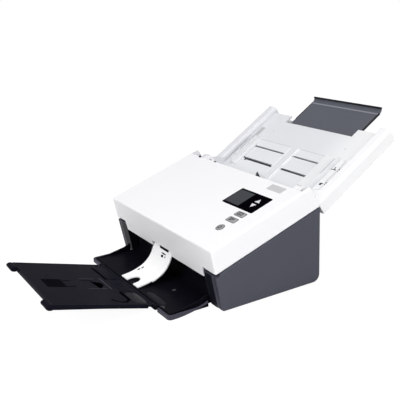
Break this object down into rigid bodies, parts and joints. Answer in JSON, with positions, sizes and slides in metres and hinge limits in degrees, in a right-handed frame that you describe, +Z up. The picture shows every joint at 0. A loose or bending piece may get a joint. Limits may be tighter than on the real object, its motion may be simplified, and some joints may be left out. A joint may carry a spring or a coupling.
{
  "type": "document scanner",
  "caption": "Desktop sheet-fed scanner: white cover that opens forward, folding input tray with sliding side guides, dark base, output tray with folding extension.",
  "frame": {"origin": "centre of the footprint at desk level: half way between the far end of the output extension and the far end of the input extension, on the plane of the feet", "axes": "+X to the scanner's right as the operator in front sees it, +Y from front to back, +Z up"},
  "size_m": [0.316, 0.5943, 0.2321],
  "materials": {
    "white": "fine matt texture",
    "tray_white": "fine matt texture",
    "slate": "fine matt texture",
    "charcoal": "satin",
    "black": "satin",
    "panel_black": "polished",
    "screen": "polished",
    "key_grey": "satin",
    "pale_grey": "satin",
    "rubber": "matt",
    "steel": "bright drawn",
    "glass": "polished",
    "acetal": "satin moulded",
    "board_green": "solder mask"
  },
  "bodies": {
    "base": {"base_shell": "slate", "bottom_plate": "steel", "foot_front_left": "rubber", "foot_front_right": "rubber", "foot_rear_left": "rubber", "foot_rear_right": "rubber", "main_board": "board_green", "usb_socket": "steel", "power_inlet": "black", "feed_ramp": "tray_white", "lower_guide": "black", "lower_scan_module": "charcoal", "lower_scan_glass": "glass", "drive_motor": "steel", "output_tray": "charcoal", "extension_pin": "steel", "tray_bracket_left": "white", "tray_bracket_right": "white", "cover_pin_left": "steel", "cover_pin_right": "steel", "tray_pin_left": "steel", "tray_pin_right": "steel"},
    "cover": {"cover_shell": "white", "display_panel": "panel_black", "display_screen": "screen", "upper_guide": "charcoal", "upper_scan_module": "charcoal", "upper_scan_glass": "glass", "tongue_pin": "steel"},
    "menu_key": {"menu_button": "key_grey"},
    "stop_key": {"stop_button": "key_grey"},
    "power_key": {"power_button": "key_grey"},
    "release_key": {"release_bar": "pale_grey"},
    "tongue": {"output_tongue": "white"},
    "separation": {"separation_roller": "rubber"},
    "transport_pinch": {"transport_pinch_roller": "rubber"},
    "exit_pinch": {"exit_pinch_roller": "rubber"},
    "tray": {"input_tray": "tray_white", "tray_back_cover": "tray_white"},
    "extension": {"tray_extension": "slate"},
    "guide_left": {"side_guide_left": "tray_white"},
    "guide_right": {"side_guide_right": "tray_white"},
    "pinion": {"guide_pinion": "acetal"},
    "stop_plate": {"output_extension": "charcoal"},
    "feed_drive": {"feed_shaft": "steel", "feed_tyre_left": "rubber", "feed_tyre_right": "rubber", "feed_gear": "acetal"},
    "transport_drive": {"transport_shaft": "steel", "transport_tyre_left": "rubber", "transport_tyre_right": "rubber", "transport_gear": "acetal"},
    "exit_drive": {"exit_shaft": "steel", "exit_tyre_left": "rubber", "exit_tyre_right": "rubber", "exit_gear": "acetal"},
    "feed_idler_gear": {"feed_idler": "acetal"},
    "exit_idler_gear": {"exit_idler": "acetal"},
    "motor_drive": {"motor_pinion": "steel"}
  },
  "joints": [
    {"name": "cover_hinge", "type": "hinge", "parent": "base", "child": "cover", "pos_m": [0, -0.0814, 0.0598], "axis": [1, 0, 0], "range_deg": [0, 50]},
    {"name": "input_tray_hinge", "type": "hinge", "parent": "base", "child": "tray", "pos_m": [0, 0.08608, 0.13804], "axis": [-1, 0, 0], "range_deg": [-128, 0]},
    {"name": "tray_extension_slide", "type": "slide", "parent": "tray", "child": "extension", "axis": [0, 0.848, 0.5299], "range_m": [-0.048, 0]},
    {"name": "guide_left_slide", "type": "slide", "parent": "tray", "child": "guide_left", "axis": [1, 0, 0], "range_m": [-0.009, 0.045]},
    {"name": "guide_right_slide", "type": "slide", "parent": "tray", "child": "guide_right", "axis": [1, 0, 0], "range_m": [-0.045, 0.009]},
    {"name": "guide_pinion_spin", "type": "hinge", "parent": "tray", "child": "pinion", "pos_m": [-0.0045, 0.15845, 0.14517], "axis": [0, -0.5299, 0.848], "range_deg": [-75, 370]},
    {"name": "output_tongue_hinge", "type": "hinge", "parent": "cover", "child": "tongue", "pos_m": [0, -0.076, 0.052], "axis": [-1, 0, 0], "range_deg": [0, 50]},
    {"name": "output_extension_hinge", "type": "hinge", "parent": "base", "child": "stop_plate", "pos_m": [0, -0.1475, 0.006], "axis": [1, 0, 0], "range_deg": [-88, 0]},
    {"name": "menu_button_press", "type": "slide", "parent": "cover", "child": "menu_key", "axis": [0, 0.314, -0.9494], "range_m": [0, 0.0006], "stiffness_N_per_m": 800, "springref_m": -0.0006},
    {"name": "stop_button_press", "type": "slide", "parent": "cover", "child": "stop_key", "axis": [0, 0.314, -0.9494], "range_m": [0, 0.0006], "stiffness_N_per_m": 800, "springref_m": -0.0006},
    {"name": "power_button_press", "type": "slide", "parent": "cover", "child": "power_key", "axis": [0, 0.314, -0.9494], "range_m": [0, 0.0006], "stiffness_N_per_m": 800, "springref_m": -0.0006},
    {"name": "release_bar_press", "type": "slide", "parent": "cover", "child": "release_key", "axis": [0, 0.314, -0.9494], "range_m": [0, 0.002], "stiffness_N_per_m": 500, "springref_m": -0.001},
    {"name": "transport_spin", "type": "hinge", "parent": "base", "child": "transport_drive", "pos_m": [0, 0.00138, 0.05836], "axis": [1, 0, 0], "continuous": true},
    {"name": "feed_spin", "type": "hinge", "parent": "base", "child": "feed_drive", "pos_m": [0, 0.04885, 0.07406], "axis": [1, 0, 0], "continuous": true},
    {"name": "exit_spin", "type": "hinge", "parent": "base", "child": "exit_drive", "pos_m": [0, -0.04609, 0.04266], "axis": [1, 0, 0], "continuous": true},
    {"name": "feed_idler_spin", "type": "hinge", "parent": "base", "child": "feed_idler_gear", "pos_m": [0, 0.02832, 0.05653], "axis": [1, 0, 0], "continuous": true},
    {"name": "exit_idler_spin", "type": "hinge", "parent": "base", "child": "exit_idler_gear", "pos_m": [0, -0.01915, 0.04083], "axis": [1, 0, 0], "continuous": true},
    {"name": "motor_spin", "type": "hinge", "parent": "base", "child": "motor_drive", "pos_m": [0, 0.00797, 0.03842], "axis": [1, 0, 0], "continuous": true},
    {"name": "separation_roller_spin", "type": "hinge", "parent": "cover", "child": "separation", "pos_m": [0, 0.0437, 0.08963], "axis": [1, 0, 0], "continuous": true},
    {"name": "transport_pinch_roller_spin", "type": "hinge", "parent": "cover", "child": "transport_pinch", "pos_m": [0, -0.00314, 0.07203], "axis": [1, 0, 0], "continuous": true},
    {"name": "exit_pinch_roller_spin", "type": "hinge", "parent": "cover", "child": "exit_pinch", "pos_m": [0, -0.05061, 0.05633], "axis": [1, 0, 0], "continuous": true}
  ],
  "couplings": [
    {"joint": "output_tongue_hinge", "follows": "cover_hinge", "ratio": 1},
    {"joint": "guide_right_slide", "follows": "guide_left_slide", "ratio": -1},
    {"joint": "guide_pinion_spin", "follows": "guide_left_slide", "rad_per_m": 142.86},
    {"joint": "feed_spin", "follows": "transport_spin", "ratio": 1},
    {"joint": "exit_spin", "follows": "transport_spin", "ratio": 1},
    {"joint": "feed_idler_spin", "follows": "transport_spin", "ratio": -1.25},
    {"joint": "exit_idler_spin", "follows": "transport_spin", "ratio": -1.25},
    {"joint": "motor_spin", "follows": "transport_spin", "ratio": -2.5}
  ]
}
